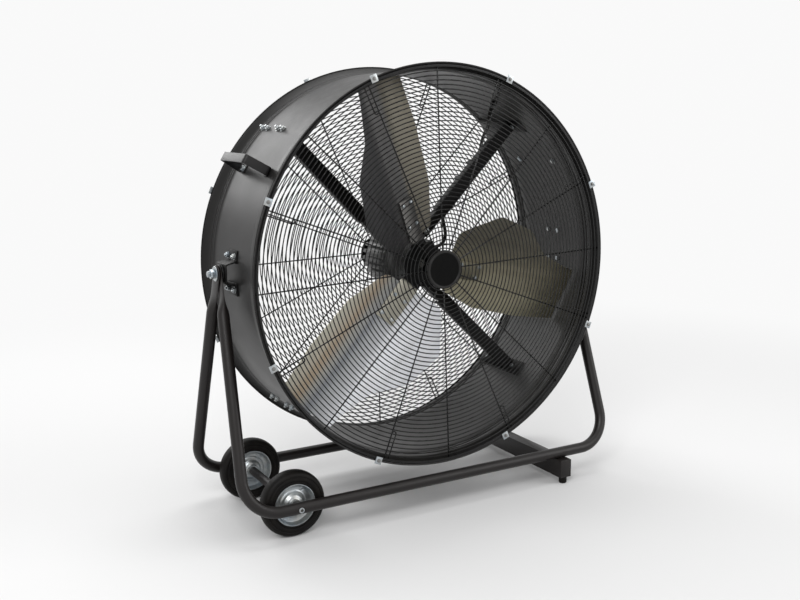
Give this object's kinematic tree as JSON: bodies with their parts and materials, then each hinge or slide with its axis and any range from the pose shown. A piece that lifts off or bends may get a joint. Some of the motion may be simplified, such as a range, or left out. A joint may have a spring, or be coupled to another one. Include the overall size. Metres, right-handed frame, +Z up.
{
  "type": "drum fan",
  "caption": "Large drum fan: a round duct with wire grilles, folded blades and a finned motor, tilting between two bent-tube frames on wheels.",
  "frame": {"origin": "on the floor, under the middle of the drum and of the whole fan", "axes": "+Z up, +X along the tilt axis to the side of the rubber feet, +Y along the air path towards the motor side"},
  "size_m": [1.2102, 0.456, 1.2328],
  "materials": {
    "stand_paint": "satin black paint",
    "drum_paint": "satin dark grey paint",
    "grille_wire": "satin black paint",
    "cap_plastic": "satin",
    "zinc": "bright zinc plate",
    "foot_rubber": "matte",
    "tyre_rubber": "matte",
    "friction_fibre": "matte",
    "blade_metal": "mill finish",
    "motor_metal": "dark paint",
    "hub_paint": "satin dark paint",
    "steel": "machined",
    "black_plastic": "matte",
    "cable_sheath": "matte"
  },
  "bodies": {
    "stand": {"front_frame": "stand_paint", "rear_frame": "stand_paint", "cross_foot": "stand_paint", "rubber_feet": "foot_rubber", "axle_rod": "zinc", "axle_caps": "zinc", "axle_spacer": "hub_paint"},
    "drum": {"bearings": "steel", "bracket_bolts": "zinc", "cable_clips": "black_plastic", "clip_screws": "zinc", "drum_shell": "drum_paint", "friction_discs": "friction_fibre", "front_bell": "motor_metal", "front_clips": "zinc", "front_grille": "grille_wire", "grille_cap": "cap_plastic", "handle_bolts": "zinc", "left_handle": "drum_paint", "left_trunnion_bracket": "drum_paint", "lower_left_strut": "drum_paint", "lower_right_strut": "drum_paint", "mains_gland": "black_plastic", "motor_bolts": "zinc", "motor_cable": "cable_sheath", "motor_housing": "motor_metal", "pivot_bolts": "zinc", "pivot_nuts": "zinc", "pivot_washers": "zinc", "rear_bell": "motor_metal", "rear_clips": "zinc", "rear_grille": "grille_wire", "right_handle": "drum_paint", "right_trunnion_bracket": "drum_paint", "stator": "steel", "strut_bolts": "zinc", "strut_nuts": "zinc", "switch_box": "black_plastic", "switch_lid": "black_plastic", "terminal_box": "motor_metal", "terminal_cover": "motor_metal", "terminal_gland": "black_plastic", "upper_left_strut": "drum_paint", "upper_right_strut": "drum_paint", "wall_gland": "black_plastic"},
    "front_wheel": {"front_tyre": "tyre_rubber", "front_wheel_rim": "zinc"},
    "rear_wheel": {"rear_tyre": "tyre_rubber", "rear_wheel_rim": "zinc"},
    "rotor": {"shaft": "steel", "rotor_core": "steel", "hub_spider": "hub_paint", "blade_1": "blade_metal", "blade_2": "blade_metal", "blade_3": "blade_metal", "blade_bolts": "zinc", "hub_bolt": "zinc"},
    "knob": {"switch_knob": "black_plastic"}
  },
  "joints": [
    {"name": "drum_tilt", "type": "hinge", "parent": "stand", "child": "drum", "pos_m": [0, 0, 0.694], "axis": [1, 0, 0], "range_deg": [-90, 90]},
    {"name": "rotor_spin", "type": "hinge", "parent": "drum", "child": "rotor", "pos_m": [0, 0, 0.683], "axis": [0, 1, 0], "continuous": true},
    {"name": "front_wheel_spin", "type": "hinge", "parent": "stand", "child": "front_wheel", "pos_m": [-0.444, -0.152, 0.09], "axis": [0, 1, 0], "continuous": true},
    {"name": "rear_wheel_spin", "type": "hinge", "parent": "stand", "child": "rear_wheel", "pos_m": [-0.444, 0.152, 0.09], "axis": [0, 1, 0], "continuous": true},
    {"name": "switch_turn", "type": "hinge", "parent": "drum", "child": "knob", "pos_m": [0.28326, 0.046, 1.1574], "axis": [0, 1, 0], "range_deg": [0, 135]}
  ]
}
